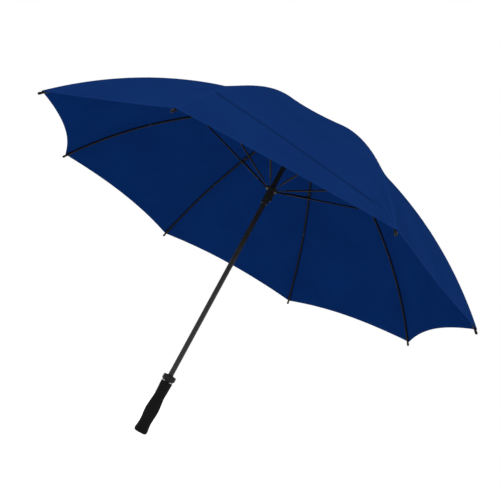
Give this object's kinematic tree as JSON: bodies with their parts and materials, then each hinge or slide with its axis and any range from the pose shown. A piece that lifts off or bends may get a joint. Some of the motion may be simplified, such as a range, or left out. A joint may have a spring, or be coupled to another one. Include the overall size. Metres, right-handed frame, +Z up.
{
  "type": "golf umbrella",
  "caption": "Open golf umbrella with a one-piece shaft, contoured foam grip, folding rib frame, sliding runner and a scalloped cloth canopy.",
  "frame": {"origin": "centre of the flat end face of the grip, on the shaft's axis", "axes": "+Z up the shaft towards the ferrule; one gore's middle faces -Y, with a rib at 22.5 degrees either side"},
  "size_m": [1.2032, 1.2032, 0.997],
  "materials": {
    "navy_cloth": "woven polyester with a slight sheen",
    "foam_grip": "matt closed-cell foam",
    "black_plastic": "satin moulding",
    "black_fibreglass": "satin pultruded fibreglass",
    "black_metal": "black lacquer",
    "bright_wire": "drawn wire"
  },
  "bodies": {
    "root": {"grip": "foam_grip", "grip_core": "black_plastic", "grip_end_cap": "black_plastic", "handle_collar": "black_plastic", "shaft": "black_fibreglass", "stop_pin": "black_metal", "top_notch": "black_plastic", "top_notch_wire": "black_metal", "notch_pin": "black_metal", "crown_washer": "black_plastic", "crown_cap": "black_plastic", "ferrule": "black_plastic"},
    "runner": {"runner": "black_plastic", "runner_wire": "black_metal", "catch_pin": "bright_wire", "catch_spring": "bright_wire"},
    "catch": {"catch_lever": "black_plastic"},
    "rib_1": {"rib_inner_1": "black_fibreglass", "rib_joint_1": "black_metal", "canopy_gore_1": "navy_cloth"},
    "rib_end_1": {"rib_outer_1": "black_fibreglass"},
    "strut_1": {"stretcher_1": "black_fibreglass"},
    "rib_2": {"rib_inner_2": "black_fibreglass", "rib_joint_2": "black_metal", "canopy_gore_2": "navy_cloth"},
    "rib_end_2": {"rib_outer_2": "black_fibreglass"},
    "strut_2": {"stretcher_2": "black_fibreglass"},
    "rib_3": {"rib_inner_3": "black_fibreglass", "rib_joint_3": "black_metal", "canopy_gore_3": "navy_cloth"},
    "rib_end_3": {"rib_outer_3": "black_fibreglass"},
    "strut_3": {"stretcher_3": "black_fibreglass"},
    "rib_4": {"rib_inner_4": "black_fibreglass", "rib_joint_4": "black_metal", "canopy_gore_4": "navy_cloth"},
    "rib_end_4": {"rib_outer_4": "black_fibreglass", "tie_strap": "navy_cloth"},
    "strut_4": {"stretcher_4": "black_fibreglass"},
    "rib_5": {"rib_inner_5": "black_fibreglass", "rib_joint_5": "black_metal", "canopy_gore_5": "navy_cloth"},
    "rib_end_5": {"rib_outer_5": "black_fibreglass"},
    "strut_5": {"stretcher_5": "black_fibreglass"},
    "rib_6": {"rib_inner_6": "black_fibreglass", "rib_joint_6": "black_metal", "canopy_gore_6": "navy_cloth"},
    "rib_end_6": {"rib_outer_6": "black_fibreglass"},
    "strut_6": {"stretcher_6": "black_fibreglass"},
    "rib_7": {"rib_inner_7": "black_fibreglass", "rib_joint_7": "black_metal", "canopy_gore_7": "navy_cloth"},
    "rib_end_7": {"rib_outer_7": "black_fibreglass"},
    "strut_7": {"stretcher_7": "black_fibreglass"},
    "rib_8": {"rib_inner_8": "black_fibreglass", "rib_joint_8": "black_metal", "canopy_gore_8": "navy_cloth"},
    "rib_end_8": {"rib_outer_8": "black_fibreglass"},
    "strut_8": {"stretcher_8": "black_fibreglass"}
  },
  "joints": [
    {"name": "runner_slide", "type": "slide", "parent": "root", "child": "runner", "axis": [0, 0, 1], "range_m": [-0.39798, 0], "deforming": ["canopy_gore_1", "canopy_gore_2", "canopy_gore_3", "canopy_gore_4", "canopy_gore_5", "canopy_gore_6", "canopy_gore_7", "canopy_gore_8", "tie_strap"]},
    {"name": "catch_press", "type": "hinge", "parent": "runner", "child": "catch", "pos_m": [0.012, 0, 0.716], "axis": [0, 1, 0], "range_deg": [0, 6], "stiffness_Nm_per_rad": 0.15, "springref_deg": -1.15, "deforming": ["catch_spring"]},
    {"name": "rib_fold_1", "type": "hinge", "parent": "root", "child": "rib_1", "pos_m": [0.00536, -0.01293, 0.964], "axis": [0.9239, 0.3827, 0], "range_deg": [0, 69.01]},
    {"name": "rib_flex_1", "type": "hinge", "parent": "rib_1", "child": "rib_end_1", "pos_m": [0.12093, -0.29195, 0.86295], "axis": [0.9239, 0.3827, 0], "range_deg": [-17.41, 0]},
    {"name": "strut_fold_1", "type": "hinge", "parent": "rib_1", "child": "strut_1", "pos_m": [0.11688, -0.28218, 0.86012], "axis": [0.9239, 0.3827, 0], "range_deg": [-134.59, 0]},
    {"name": "rib_fold_2", "type": "hinge", "parent": "root", "child": "rib_2", "pos_m": [0.01293, -0.00536, 0.964], "axis": [0.3827, 0.9239, 0], "range_deg": [0, 69.01]},
    {"name": "rib_flex_2", "type": "hinge", "parent": "rib_2", "child": "rib_end_2", "pos_m": [0.29195, -0.12093, 0.86295], "axis": [0.3827, 0.9239, 0], "range_deg": [-17.41, 0]},
    {"name": "strut_fold_2", "type": "hinge", "parent": "rib_2", "child": "strut_2", "pos_m": [0.28218, -0.11688, 0.86012], "axis": [0.3827, 0.9239, 0], "range_deg": [-134.59, 0]},
    {"name": "rib_fold_3", "type": "hinge", "parent": "root", "child": "rib_3", "pos_m": [0.01293, 0.00536, 0.964], "axis": [-0.3827, 0.9239, 0], "range_deg": [0, 69.01]},
    {"name": "rib_flex_3", "type": "hinge", "parent": "rib_3", "child": "rib_end_3", "pos_m": [0.29195, 0.12093, 0.86295], "axis": [-0.3827, 0.9239, 0], "range_deg": [-17.41, 0]},
    {"name": "strut_fold_3", "type": "hinge", "parent": "rib_3", "child": "strut_3", "pos_m": [0.28218, 0.11688, 0.86012], "axis": [-0.3827, 0.9239, 0], "range_deg": [-134.59, 0]},
    {"name": "rib_fold_4", "type": "hinge", "parent": "root", "child": "rib_4", "pos_m": [0.00536, 0.01293, 0.964], "axis": [-0.9239, 0.3827, 0], "range_deg": [0, 69.01]},
    {"name": "rib_flex_4", "type": "hinge", "parent": "rib_4", "child": "rib_end_4", "pos_m": [0.12093, 0.29195, 0.86295], "axis": [-0.9239, 0.3827, 0], "range_deg": [-17.41, 0]},
    {"name": "strut_fold_4", "type": "hinge", "parent": "rib_4", "child": "strut_4", "pos_m": [0.11688, 0.28218, 0.86012], "axis": [-0.9239, 0.3827, 0], "range_deg": [-134.59, 0]},
    {"name": "rib_fold_5", "type": "hinge", "parent": "root", "child": "rib_5", "pos_m": [-0.00536, 0.01293, 0.964], "axis": [-0.9239, -0.3827, 0], "range_deg": [0, 69.01]},
    {"name": "rib_flex_5", "type": "hinge", "parent": "rib_5", "child": "rib_end_5", "pos_m": [-0.12093, 0.29195, 0.86295], "axis": [-0.9239, -0.3827, 0], "range_deg": [-17.41, 0]},
    {"name": "strut_fold_5", "type": "hinge", "parent": "rib_5", "child": "strut_5", "pos_m": [-0.11688, 0.28218, 0.86012], "axis": [-0.9239, -0.3827, 0], "range_deg": [-134.59, 0]},
    {"name": "rib_fold_6", "type": "hinge", "parent": "root", "child": "rib_6", "pos_m": [-0.01293, 0.00536, 0.964], "axis": [-0.3827, -0.9239, 0], "range_deg": [0, 69.01]},
    {"name": "rib_flex_6", "type": "hinge", "parent": "rib_6", "child": "rib_end_6", "pos_m": [-0.29195, 0.12093, 0.86295], "axis": [-0.3827, -0.9239, 0], "range_deg": [-17.41, 0]},
    {"name": "strut_fold_6", "type": "hinge", "parent": "rib_6", "child": "strut_6", "pos_m": [-0.28218, 0.11688, 0.86012], "axis": [-0.3827, -0.9239, 0], "range_deg": [-134.59, 0]},
    {"name": "rib_fold_7", "type": "hinge", "parent": "root", "child": "rib_7", "pos_m": [-0.01293, -0.00536, 0.964], "axis": [0.3827, -0.9239, 0], "range_deg": [0, 69.01]},
    {"name": "rib_flex_7", "type": "hinge", "parent": "rib_7", "child": "rib_end_7", "pos_m": [-0.29195, -0.12093, 0.86295], "axis": [0.3827, -0.9239, 0], "range_deg": [-17.41, 0]},
    {"name": "strut_fold_7", "type": "hinge", "parent": "rib_7", "child": "strut_7", "pos_m": [-0.28218, -0.11688, 0.86012], "axis": [0.3827, -0.9239, 0], "range_deg": [-134.59, 0]},
    {"name": "rib_fold_8", "type": "hinge", "parent": "root", "child": "rib_8", "pos_m": [-0.00536, -0.01293, 0.964], "axis": [0.9239, -0.3827, 0], "range_deg": [0, 69.01]},
    {"name": "rib_flex_8", "type": "hinge", "parent": "rib_8", "child": "rib_end_8", "pos_m": [-0.12093, -0.29195, 0.86295], "axis": [0.9239, -0.3827, 0], "range_deg": [-17.41, 0]},
    {"name": "strut_fold_8", "type": "hinge", "parent": "rib_8", "child": "strut_8", "pos_m": [-0.11688, -0.28218, 0.86012], "axis": [0.9239, -0.3827, 0], "range_deg": [-134.59, 0]}
  ],
  "couplings": [
    {"joint": "rib_fold_1", "follows": "runner_slide", "rad_per_m": -3.026},
    {"joint": "rib_flex_1", "follows": "runner_slide", "rad_per_m": 0.76308},
    {"joint": "strut_fold_1", "follows": "runner_slide", "rad_per_m": 5.9021},
    {"joint": "rib_fold_2", "follows": "runner_slide", "rad_per_m": -3.026},
    {"joint": "rib_flex_2", "follows": "runner_slide", "rad_per_m": 0.76308},
    {"joint": "strut_fold_2", "follows": "runner_slide", "rad_per_m": 5.9021},
    {"joint": "rib_fold_3", "follows": "runner_slide", "rad_per_m": -3.026},
    {"joint": "rib_flex_3", "follows": "runner_slide", "rad_per_m": 0.76308},
    {"joint": "strut_fold_3", "follows": "runner_slide", "rad_per_m": 5.9021},
    {"joint": "rib_fold_4", "follows": "runner_slide", "rad_per_m": -3.026},
    {"joint": "rib_flex_4", "follows": "runner_slide", "rad_per_m": 0.76308},
    {"joint": "strut_fold_4", "follows": "runner_slide", "rad_per_m": 5.9021},
    {"joint": "rib_fold_5", "follows": "runner_slide", "rad_per_m": -3.026},
    {"joint": "rib_flex_5", "follows": "runner_slide", "rad_per_m": 0.76308},
    {"joint": "strut_fold_5", "follows": "runner_slide", "rad_per_m": 5.9021},
    {"joint": "rib_fold_6", "follows": "runner_slide", "rad_per_m": -3.026},
    {"joint": "rib_flex_6", "follows": "runner_slide", "rad_per_m": 0.76308},
    {"joint": "strut_fold_6", "follows": "runner_slide", "rad_per_m": 5.9021},
    {"joint": "rib_fold_7", "follows": "runner_slide", "rad_per_m": -3.026},
    {"joint": "rib_flex_7", "follows": "runner_slide", "rad_per_m": 0.76308},
    {"joint": "strut_fold_7", "follows": "runner_slide", "rad_per_m": 5.9021},
    {"joint": "rib_fold_8", "follows": "runner_slide", "rad_per_m": -3.026},
    {"joint": "rib_flex_8", "follows": "runner_slide", "rad_per_m": 0.76308},
    {"joint": "strut_fold_8", "follows": "runner_slide", "rad_per_m": 5.9021}
  ]
}
